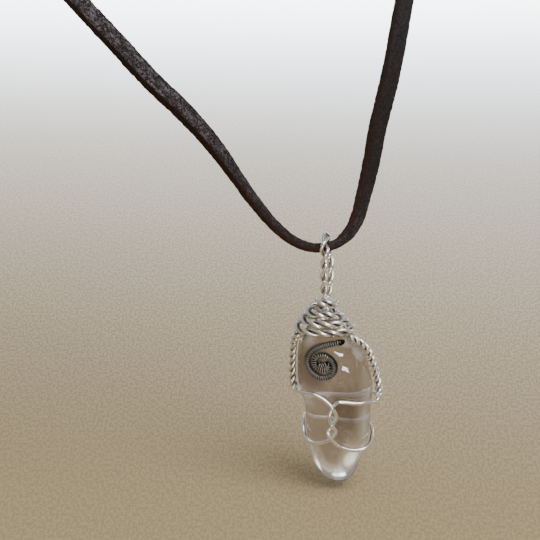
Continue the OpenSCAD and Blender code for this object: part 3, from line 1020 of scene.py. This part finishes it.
@dataclass
class QuartzStone:
    """The stone: soft facets on a tapering, rounded body."""

    top: float = -13.6
    length: float = 30.4
    width: float = 13.0
    depth: float = 8.6
    roundness: float = 2.6
    closing: Row = (0.006, 0.012)
    sharpness: float = 26.0
    sections: Sequence[Row] = ((0, 0.4, 0.6, 0.18, 0.24), (0.02, 0.4, 0.6, 0.4, 0.48), (0.05, 0.25, 0.7, 0.53, 0.68),
                               (0.105, 0.85, 1, 0.775, 0.85), (0.17, 1.3, 1.1, 0.89, 0.94),
                               (0.255, 1.6, 1.2, 0.95, 0.99), (0.365, 2, 1.2, 1, 1), (0.445, 2.35, 1.2, 0.955, 1),
                               (0.51, 2.55, 1.2, 0.89, 0.98), (0.6, 2.6, 1.2, 0.87, 0.95),
                               (0.71, 2.6, 1.2, 0.83, 0.9), (0.8, 2.5, 1.2, 0.705, 0.79),
                               (0.87, 2.5, 1.2, 0.61, 0.68), (0.935, 2.6, 1.2, 0.47, 0.51),
                               (0.975, 2.8, 1.2, 0.295, 0.32), (1, 2.9, 1.2, 0.08, 0.09))
    facets: Sequence[Row] = ((-92, 0.955), (-36, 0.93), (-148, 0.94), (24, 0.95), (88, 0.955), (152, 0.94))

    def __post_init__(self) -> None:
        """Keeps the sections as squares, so that the ends close roundly."""
        self.table = Table([(d, x, y, w * w, t * t) for d, x, y, w, t in self.sections])

    def section(self, z: float) -> tuple[float, float, float, float]:
        """Measures the stone at a height.

        Args:
            z: height in the pendant's frame.

        Returns:
            Middle across, middle deep, half width and half depth.
        """
        down = (self.top - z) / self.length
        x, y, w, d = (self.table.at(down, k) for k in (1, 2, 3, 4))
        first, last = self.closing
        end = min(1.0, max(0.0, down) / first) * min(1.0, max(0.0, 1.0 - down) / last)
        return (x, y, math.sqrt(max(w, 1e-6) * end) * self.width / 2, math.sqrt(max(d, 1e-6) * end) * self.depth / 2)

    def on(self, angle: float, z: float, lift: float) -> Vector:
        """Point at an angle round the stone.

        Args:
            angle: degrees round the stone, -90 to the front.
            z: height in the pendant's frame.
            lift: how far the point stands off the surface.

        Returns:
            The point in the pendant's frame.
        """
        x0, y0, w, d = self.section(z)
        c, s, n = math.cos(math.radians(angle)), math.sin(math.radians(angle)), self.roundness
        r = ((abs(c) / w) ** n + (abs(s) / d) ** n) ** (-1 / n)
        x, y = r * c, r * s
        out = Vector((math.copysign((abs(x) / w) ** (n - 1) / w, x), math.copysign((abs(y) / d) ** (n - 1) / d, y)))
        out.normalize()
        return Vector((x0 + x + lift * out.x, y0 + y + lift * out.y, z))

    def path(self, route: Sequence[Row], steps: int = 16) -> Path:
        """Path of a wire that lies on the stone."""
        return Path([self.on(*p) for p in curve_rows(route, steps)])

    def cut(self, angle: float, z: float) -> Vector:
        """Point of the polished surface, with its soft facets.

        Args:
            angle: degrees round the stone, -90 to the front.
            z: height in the pendant's frame.

        Returns:
            The point in the pendant's frame.
        """
        p = self.on(angle, z, 0.0)
        x0, y0, w, d = self.section(z)
        n = self.roundness
        m = n / (n - 1)
        c, s = math.cos(math.radians(angle)), math.sin(math.radians(angle))
        reach = math.hypot(p.x - x0, p.y - y0)
        total = reach ** -self.sharpness
        for turn, share in self.facets:
            fc, fs = math.cos(math.radians(turn)), math.sin(math.radians(turn))
            support = ((abs(fc) * w) ** m + (abs(fs) * d) ** m) ** (1 / m) * share
            facing = c * fc + s * fs
            if facing > 0.05:
                total += (support / facing) ** -self.sharpness
        r = total ** (-1 / self.sharpness)
        return Vector((x0 + r * c, y0 + r * s, z))

    def build(self, material: bpy.types.Material) -> bpy.types.Object:
        """Shapes the stone from a fine ball.

        Args:
            material: the quartz.

        Returns:
            The stone's object.
        """
        maker = MeshMaker()
        made = bmesh.ops.create_uvsphere(maker.bm, u_segments=128, v_segments=144, radius=1.0)
        middle = self.top - self.length / 2
        for vert in made["verts"]:
            flat = math.hypot(vert.co.x, vert.co.y)
            z = middle + self.length / 2 * vert.co.z
            if flat < 1e-5:
                x0, y0, _w, _d = self.section(z)
                vert.co = Vector((x0, y0, z))
            else:
                vert.co = self.cut(math.degrees(math.atan2(vert.co.y, vert.co.x)), z)
            vert[maker.lay] = vert.co
        return maker.finish("stone", "quartz_stone", material)


@dataclass
class TwistedPair:
    """Two round wires twisted together along a path."""

    path: Path
    pitch: float
    start_turn: float = 0.0
    start_side: Row = (1, 0, 0)
    wire: float = 0.66
    gap: float = 0.012
    unevenness: float = 0.0
    seed: float = 0.0
    spread: Sequence[Row] = ()

    def strands(self) -> list[list[Frame3]]:
        """Frames of the two strands, side vectors pointing away from the pair's middle.

        Returns:
            The frames of the first and of the second strand.
        """
        path = self.path.spaced(0.16)
        centres: list[list[Vector]] = [[], []]
        ways: list[list[Vector]] = [[], []]
        for (point, side, up), run in zip(path.frames(Vector(self.start_side)), path.runs()):
            turn = math.radians(self.start_turn) + math.tau * run / self.pitch
            turn += self.unevenness * noise_at(self.seed, run, 0.45)
            offset = self.wire / 2 + self.gap + sum(more * bump_at(run, at, reach) for at, reach, more in self.spread)
            offset += 0.05 * self.unevenness * (1 + noise_at(self.seed + 1, run, 0.6))
            for k in (0, 1):
                way = math.cos(turn + math.pi * k) * side + math.sin(turn + math.pi * k) * up
                centres[k].append(point + offset * way)
                ways[k].append(way)
        return [Path(centres[k]).facing(ways[k]) for k in (0, 1)]

    def add_to(self, maker: MeshMaker, sides: int = 12) -> None:
        """Adds both strands to a mesh."""
        for strand in self.strands():
            maker.wire(strand, self.wire / 2, sides)


@dataclass
class Bail:
    """The twisted pair that goes over the lace, with an open eye in front of it."""

    pitch: float = 4.9
    start_turn: float = 156.0
    eye: Row = (12.58, 1.5, 0.17)
    route: Sequence[Row] = ((0.1, -0.72, -12.4), (0.05, -0.76, -10.4), (-0.1, -1.05, -8), (-0.2, -1.7, -5),
                            (-0.2, -2.25, -2.4), (-0.15, -2.4, -0.3), (-0.05, -1.6, 0.85), (0.1, 0, 1.4),
                            (0.25, 1.7, 0.85), (0.4, 2.5, -0.3), (0.8, 2.3, -2.4), (1.05, 1.75, -5),
                            (0.8, 1.15, -8), (0.42, 0.78, -10.4), (0.36, 0.74, -12.4))

    def build(self, material: bpy.types.Material) -> bpy.types.Object:
        """Makes the bail's two wires.

        Args:
            material: the silver.

        Returns:
            The bail's object.
        """
        maker = MeshMaker()
        TwistedPair(Path(curve_rows(self.route, 12)), self.pitch, self.start_turn, unevenness=0.12, seed=3,
                    spread=(self.eye,)).add_to(maker)
        return maker.finish("bail_wires", "bail", material)


@dataclass
class NeckWrap:
    """The twisted pair wound round the top of the stone."""

    pitch: float = 5.2
    start: float = 215.0
    turns: Sequence[Row] = ((0, 1.75, 2.3, 0.1, 0, -9.6), (0.15, 1.7, 2.3, 0.1, 0, -9.5),
                            (0.4, 1.85, 2.3, 0.1, 0, -10.5), (0.65, 1.9, 2.35, 0, 0.1, -11.1),
                            (0.9, 2.5, 2.5, -0.23, 0.15, -11.7), (1.15, 2.6, 2.75, -0.2, 0.2, -11.5),
                            (1.4, 2.6, 2.85, -0.2, 0.2, -12.5), (1.65, 2.9, 3, -0.1, 0.3, -12.6),
                            (1.9, 3.5, 3.3, 0, 0.35, -13), (2.15, 3.6, 3.45, 0, 0.4, -13.1),
                            (2.4, 3.6, 3.5, 0, 0.4, -13.6), (2.65, 3.9, 3.65, 0, 0.45, -14),
                            (2.9, 4.45, 3.85, 0, 0.5, -14.5), (3.15, 4.5, 3.95, 0.05, 0.55, -14.55),
                            (3.4, 4.6, 3.95, 0.1, 0.55, -14.85), (3.55, 4.6, 4.05, 0.1, 0.55, -14.7))

    def path(self) -> Path:
        """Winds the wrap's middle line.

        Returns:
            The line in the pendant's frame.
        """
        points = []
        for turn, w, d, x, y, z in curve_rows(self.turns, 12):
            a = math.radians(self.start + 360 * turn)
            points.append(Vector((x + w * math.cos(a), y + d * math.sin(a), z)))
        return Path(points)

    def build(self, material: bpy.types.Material) -> bpy.types.Object:
        """Makes the wrap's two wires.

        Args:
            material: the silver.

        Returns:
            The wrap's object.
        """
        maker = MeshMaker()
        TwistedPair(self.path(), self.pitch, 0.0, (0, 0, 1), unevenness=0.5, seed=5).add_to(maker)
        return maker.finish("wrap_wires", "neck_wrap", material)


@dataclass
class SideTwist:
    """A twisted pair down one edge of the stone."""

    name: str
    node: str
    stone: QuartzStone
    route: Sequence[Row]
    start_turn: float = 0.0
    pitch: float = 2.6

    def pair(self) -> TwistedPair:
        """The twisted wires."""
        return TwistedPair(self.stone.path(self.route, 12), self.pitch, self.start_turn)

    def end(self, strand: int) -> tuple[Vector, Vector]:
        """Where a strand ends at the bottom, and which way it goes there."""
        frames = self.pair().strands()[strand]
        return frames[-1][0], (frames[-1][0] - frames[-3][0]).normalized()

    def build(self, material: bpy.types.Material) -> bpy.types.Object:
        """Makes the twist's two wires.

        Args:
            material: the silver.

        Returns:
            The twist's object.
        """
        maker = MeshMaker()
        self.pair().add_to(maker)
        return maker.finish(self.name, self.node, material)


@dataclass
class SingleWire:
    """One plain wire that lies on the stone and may go on from a side twist."""

    name: str
    node: str
    stone: QuartzStone
    route: Sequence[Row]
    head: tuple[Vector, Vector] | None = None
    tail: tuple[Vector, Vector] | None = None
    merge: int = 4
    wire: float = 0.66

    def path(self) -> Path:
        """Lays the wire and joins it to the strands that it goes on from.

        Returns:
            The wire's path in the pendant's frame.
        """
        path = self.stone.path(self.route, 16).spaced(0.2)
        points, ways, skip = path.points, path.directions(), self.merge
        if self.head:
            points = self.bend(self.head[0], self.head[1], points[skip], ways[skip]) + points[skip + 1:]
        if self.tail:
            points = points[:-skip - 1] + self.bend(points[-skip - 1], ways[-skip - 1], self.tail[0], -self.tail[1])
        return Path(points).spaced(0.16)

    @staticmethod
    def bend(start: Vector, start_way: Vector, end: Vector, end_way: Vector) -> list[Vector]:
        """A smooth bend between two points with given directions.

        Args:
            start: first point.
            start_way: direction there.
            end: last point.
            end_way: direction there.

        Returns:
            The points of the bend, both ends included.
        """
        reach = (end - start).length
        weights = [hermite(k / 16) for k in range(17)]
        return [a * start + m * reach * start_way + b * end + n * reach * end_way for a, m, b, n in weights]

    def build(self, material: bpy.types.Material) -> bpy.types.Object:
        """Makes the wire.

        Args:
            material: the silver.

        Returns:
            The wire's object.
        """
        maker = MeshMaker()
        maker.wire(self.path().frames(Vector((0.3, 0.2, 1))), self.wire / 2, 16)
        return maker.finish(self.name, self.node, material)


@dataclass
class SpiralCoil:
    """The dark wire wound on a core and laid in a spiral on the stone."""

    stone: QuartzStone
    outer: float = 1.18
    pitch: float = 0.36
    wire: float = 0.2
    bare: float = 0.9
    sides: int = 8
    # Crests that face this way get the painted highlight.
    lit_way: Row = (-0.34, -0.94, 0.0)
    route: Sequence[Row] = ((-51, -15.78, 1.1), (-58.6, -16.05, 1.2), (-70.2, -16.15, 1.1),
                            (-83.9, -16.35, 0.95), (-101, -16.64, 0.75),
                            (-112.8, -16.89, 0.68), (-122.6, -17.28, 0.65), (-130.4, -17.78, 0.65),
                            (-136.3, -18.46, 0.65), (-138.8, -19.17, 0.65), (-139.2, -19.98, 0.65),
                            (-137.4, -20.7, 0.65), (-133.5, -21.37, 0.65), (-128.4, -21.94, 0.65),
                            (-121.8, -22.28, 0.65), (-113.2, -22.42, 0.65), (-103.3, -22.22, 0.65),
                            (-95.2, -21.76, 0.65), (-89.3, -21.13, 0.65), (-87.1, -20.38, 0.65),
                            (-89, -19.66, 0.65), (-94.6, -19.02, 0.65), (-102.2, -18.57, 0.65),
                            (-110.7, -18.38, 0.65), (-119.3, -18.5, 0.65), (-125.2, -18.92, 0.65),
                            (-127.1, -19.56, 0.65), (-126.2, -20.14, 0.66), (-122.3, -20.62, 0.68),
                            (-115.7, -20.89, 0.7), (-108.5, -20.88, 0.72), (-103.5, -20.66, 0.75),
                            (-100.2, -20.3, 0.82), (-100.3, -19.9, 0.9), (-104, -19.8, 0.95), (-109.5, -19.93, 0.95),
                            (-115.5, -20.08, 0.95), (-120.5, -19.98, 0.92))

    def winding(self, frames: Sequence[Frame3], runs: Sequence[float]) -> list[Frame3]:
        """Frames of the fine wire round the core, side vectors pointing outwards.

        Args:
            frames: frames along the core.
            runs: length along the core at each frame.

        Returns:
            The frames of the wound wire.
        """
        radius, per_turn = self.outer / 2 - self.wire / 2, 14
        whole = runs[-1] - self.bare
        count = int(whole / self.pitch * per_turn)
        centres, ways, i = [], [], 0
        for k in range(count + 1):
            run = self.bare + whole * k / count
            while i < len(runs) - 2 and run > runs[i + 1]:
                i += 1
            t = (run - runs[i]) / (runs[i + 1] - runs[i])
            side = frames[i][1].lerp(frames[i + 1][1], t).normalized()
            up = frames[i][2].lerp(frames[i + 1][2], t).normalized()
            way = math.cos(math.tau * k / per_turn) * side + math.sin(math.tau * k / per_turn) * up
            centres.append(frames[i][0].lerp(frames[i + 1][0], t) + radius * way)
            ways.append(way)
        return Path(centres).facing(ways)

    def build(self, material: bpy.types.Material) -> bpy.types.Object:
        """Winds the fine wire round the core, whose bare end tapers under the wrap.

        Args:
            material: the dark wire's finish.

        Returns:
            The coil's object.
        """
        path = self.stone.path(self.route, 14).spaced(0.1)
        frames, runs = path.frames(Vector((0, -1, 0))), path.runs()
        wound, outline = self.winding(frames, runs), circle(self.wire / 2, self.sides)
        core, full, around = self.outer / 2 - self.wire - 0.01, self.outer / 2 - 0.06, 14

        def ring(i: int) -> list[Row]:
            """Draws one ring of the core, thick and then rounded off at its bare end.

            Args:
                i: the ring's number.

            Returns:
                The outline.
            """
            run = runs[i]
            r = core + (full - core) * (1 - smoothstep(self.bare - 0.1, self.bare + 0.35, run))
            r *= 0.72 + 0.28 * smoothstep(0.0, self.bare, run)
            return circle(r * math.sqrt(max(0.05, 1 - max(0.0, 1 - run / 0.3) ** 2.2)), around)

        def kept(i: int) -> list[Row]:
            """Coordinates for the finish, so that only the crests that face the front get wear with painted
            highlight.
            """
            crest = 0.4 + 0.6 * smoothstep(0.0, 0.8, wound[i][1].dot(Vector(self.lit_way)))
            return [(x * crest, y) for x, y in outline]

        def kept_core(i: int) -> list[Row]:
            """Coordinates for the finish, so that the bare head gets almost no wear and the core between the windings
            gets none.
            """
            return [(self.wire * (0.38 if runs[i] < self.bare else -0.5), 0.0)] * around

        maker = MeshMaker()
        maker.tube(wound, lambda i: outline, kept)
        maker.tube(frames, ring, kept_core)
        return maker.finish("coil_wires", "spiral_coil", material)


@dataclass(frozen=True)
class Lamp:
    """One soft light, in millimetres.

    It stands at its place and faces its target. Its turn is in its own plane, and its spread is how widely its beam
    fans out, both in degrees. Its power is in watts.
    """

    name: str
    place: Row
    target: Row
    size: Row
    power: float
    colour: Row = (1.0, 0.99, 0.98)
    turn: float = 0.0
    spread: float = 180.0

    def build(self) -> None:
        """Makes the light."""
        place, target = MM * Vector(self.place), MM * Vector(self.target)
        data = bpy.data.lights.new(self.name, "AREA")
        data.shape, data.size, data.size_y = "RECTANGLE", MM * self.size[0], MM * self.size[1]
        data.energy, data.color, data.spread = self.power, self.colour, math.radians(self.spread)
        lamp = bpy.data.objects.new(self.name, data)
        lamp.location = place
        lamp.rotation_mode = "QUATERNION"
        roll = Quaternion((0.0, 0.0, 1.0), math.radians(self.turn))
        lamp.rotation_quaternion = (target - place).to_track_quat("-Z", "Y") @ roll
        bpy.context.scene.collection.objects.link(lamp)


@dataclass
class Studio:
    """Floor, soft lights and the camera at the photograph's angle, in millimetres.

    A glow is degrees to the side, degrees up, the half angles where it starts to fade and is gone, and its strength.
    """

    floor_z: float = -161.2
    azimuth: float = -TURN
    elevation: float = 18.9
    distance: float = 300.0
    right_shift: float = 9.187
    up_shift: float = 4.176
    lens: float = 119.73
    windows: Sequence[Lamp] = (
        Lamp("window_left", (-36.2, -158.0, -150.9), (1.05, -77.66, -134.57), (13.0, 7.0), 0.00036, spread=36.0),
        Lamp("window_right", (-17.5, -131.8, -155.4), (1.85, -78.19, -136.71), (13.0, 1.4), 0.00007, spread=36.0),
        Lamp("window_upper", (-36.2, -158.0, -108.0), (0.0, -74.0, -123.0), (10.0, 10.0), 0.0014, spread=36.0),
        Lamp("window_low", (30.0, -130.0, -159.4), (3.3, -77.6, -155.2), (3.0, 3.0), 0.00013, spread=12.0))
    lighter_way: Row = (0.30, 0.35, 0.60)
    room: Sequence[tuple[float, Row]] = ((0.24, (0.10, 0.095, 0.09)), (0.48, (0.36, 0.355, 0.35)),
                                         (0.95, (0.44, 0.445, 0.46)))
    glows: Sequence[Row] = ((-1.5, 6.5, 1.0, 4.0, 12.0), (48.0, 3.0, 4.0, 9.0, 6.0))

    def axes(self) -> tuple[Vector, Vector, Vector]:
        """Forward, right and up of the camera."""
        forward, right = heading(self.azimuth, -self.elevation), heading(self.azimuth + 90.0, 0.0)
        return forward, right, right.cross(forward)

    def eye(self) -> Vector:
        """Where the camera stands."""
        forward, right, up = self.axes()
        return HANG - self.distance * forward - self.right_shift * right - self.up_shift * up

    def camera(self) -> None:
        """Makes the scene's camera."""
        forward, right, up = self.axes()
        data = bpy.data.cameras.new("portrait")
        data.lens, data.sensor_width, data.clip_start = self.lens, 36.0, 0.01
        camera = bpy.data.objects.new("portrait", data)
        turn = Matrix((right, up, -forward)).transposed().to_4x4()
        camera.matrix_world = Matrix.Translation(MM * self.eye()) @ turn
        bpy.context.scene.collection.objects.link(camera)
        bpy.context.scene.camera = camera

    def floor(self) -> None:
        """Makes the plain floor."""
        bm = bmesh.new()
        bmesh.ops.create_grid(bm, x_segments=8, y_segments=8, size=6.0)
        bmesh.ops.translate(bm, verts=bm.verts, vec=(0, 0, MM * self.floor_z))
        mesh = bpy.data.meshes.new("floor")
        bm.to_mesh(mesh)
        bm.free()
        mesh.materials.append(FloorPaint().material())
        obj = bpy.data.objects.new("floor", mesh)
        bpy.context.scene.collection.objects.link(obj)

    def lamps(self) -> None:
        """Makes the key light, the light over the far floor and the small windows."""
        pendant = HANG + Vector((2.0, 0.0, -25.0))
        above = pendant + 1050.0 * heading(self.azimuth + 142.0, 54.0)
        Lamp("key", above, pendant, (750.0, 750.0), 9.6, (1.0, 0.98, 0.95)).build()
        _forward, right, _up = self.axes()
        foot = self.eye() + 840.0 * heading(self.azimuth, 0.0) + 50.0 * right
        foot.z = self.floor_z
        Lamp("far", foot + Vector((0, 0, 220.0)), foot, (600.0, 250.0), 6.0, (0.96, 0.985, 1.0),
             -self.azimuth, 128.0).build()
        for window in self.windows:
            window.build()

    def surroundings(self) -> None:
        """Pale surroundings, lighter above and beyond, dark below and behind the camera."""
        world = bpy.data.worlds.new("pale_room")
        world.use_nodes = True
        sky = Nodes(world.node_tree)
        way = sky.node("ShaderNodeTexCoord").outputs["Generated"]

        def facing(towards: Row) -> Varying:
            """How far the way looked at goes towards a direction."""
            node = sky.node("ShaderNodeVectorMath", {"operation": "DOT_PRODUCT"}, _0=way, _1=tuple(towards))
            return Varying(sky, node.outputs["Value"])

        lightness = 0.6 * facing(self.lighter_way) + 0.5
        light = sky.node("ShaderNodeValToRGB", {"stops": self.room}, _0=lightness).outputs[0]
        for side, height, inner, outer, strength in self.glows:
            near, gone = math.cos(math.radians(inner)), math.cos(math.radians(outer))
            glow = sky.ease(facing(heading(self.azimuth + side, height)), gone, near, 0.0, strength)
            light = sky.blend(1.0, light, glow, "ADD")
        background = next(n for n in world.node_tree.nodes if n.type == "BACKGROUND")
        sky.put(background, 0, light)
        bpy.context.scene.world = world

    def build(self) -> None:
        """Sets up the whole studio."""
        self.camera()
        self.floor()
        self.surroundings()
        self.lamps()


LEFT_TWIST = ((-166, -15.5, 1), (-179, -18.1, 0.74), (-180, -20.1, 0.74), (-180, -22, 0.74), (-179, -23.8, 0.74),
              (-174, -25.2, 0.76), (-170, -25.7, 0.8))
RIGHT_TWIST = ((-36, -15.5, 1), (-24, -17, 0.78), (-17, -18.9, 0.76), (-13, -21.1, 0.76), (-3, -23.9, 0.76),
               (-3, -25.6, 0.9), (-8, -26.8, 1.05))
FRONT_LEFT = ((-168, -26.4, 0.55), (-160, -26, 0.43), (-138, -25.7, 0.4), (-123, -26.3, 0.43), (-109, -27.2, 0.89),
              (-103, -27.9, 1.2), (-96, -29.6, 0.76), (-105, -31.5, 0.4), (-114, -32.4, 0.79), (-111, -33.3, 1.25),
              (-94, -35.1, 0.52), (-70, -36, 0.4), (-47, -36.4, 0.4), (-28, -36.2, 0.6), (-12, -35.5, 0.55),
              (4, -34.6, 0.5), (20, -33.9, 0.45), (40, -33.3, 0.43), (65, -32.9, 0.4), (90, -32.6, 0.4),
              (125, -32.1, 0.4), (158, -32.1, 0.43), (166, -32.2, 0.43))
FRONT_RIGHT = ((-9, -27.6, 1.2), (-13, -28.1, 0.74), (-22, -27.9, 0.43), (-35, -27.5, 0.4), (-53, -27.4, 0.4),
               (-72, -27.1, 0.4), (-89, -27, 0.4), (-99, -27.6, 0.4), (-104, -28.2, 0.4), (-111, -29.6, 0.74),
               (-105, -31.2, 1.2), (-97, -32.4, 0.76), (-106, -33.7, 0.4), (-116, -34.4, 0.4), (-130, -34.9, 0.4),
               (-143, -35.2, 0.4), (-155, -35, 0.5), (-168, -34.2, 0.5), (-178, -33.1, 0.45), (-190, -32.3, 0.43),
               (-195, -32.2, 0.43))
BACK = ((-179, -26.4, 0.95), (-200, -27.5, 0.43), (-230, -27.9, 0.4), (-270, -28.1, 0.4), (-310, -28.2, 0.4),
        (-340, -28, 0.5), (-356, -27.6, 1))


def main() -> None:
    """Builds the necklace's pieces and the studio, in order."""
    leather = Leather().material()
    twisted = Silver("silver_twisted", roughness=0.2).material()
    # The bail's silver has lighter painted shade in its grooves, so the bail looks more brightly lit.
    bright = Silver("silver_bail", dull=(0.46, 0.43, 0.41), roughness=0.11).material()
    # The plain and satin wires glow a little behind the stone, which is painted light.
    plain = Silver("silver_plain", grooved=False).material()
    satin = Silver("silver_satin", bright=(0.98, 0.97, 0.95), roughness=0.45, grooved=False).material()
    dark = DarkWire().material()
    LeatherLace().build(leather)
    BarrelClasp().build(Plating().material())
    stone = QuartzStone()
    stone.build(Quartz().material())
    Bail().build(bright)
    NeckWrap().build(twisted)
    left = SideTwist("left_twist_wires", "left_side_twist", stone, LEFT_TWIST)
    right = SideTwist("right_twist_wires", "right_side_twist", stone, RIGHT_TWIST)
    # The left twist's silver is tinted warm as a painted reflection of warm surroundings.
    left.build(Silver("silver_warm_reflection", bright=(0.88, 0.80, 0.73), roughness=0.2).material())
    right.build(twisted)
    SingleWire("front_wire_a", "front_wire_left", stone, FRONT_LEFT, head=left.end(1)).build(plain)
    SingleWire("front_wire_b", "front_wire_right", stone, FRONT_RIGHT, head=right.end(1)).build(plain)
    SingleWire("back_wire_plain", "back_wire", stone, BACK, head=left.end(0), tail=right.end(0)).build(satin)
    SpiralCoil(stone).build(dark)
    Studio().build()


if __name__ == "__main__":
    main()
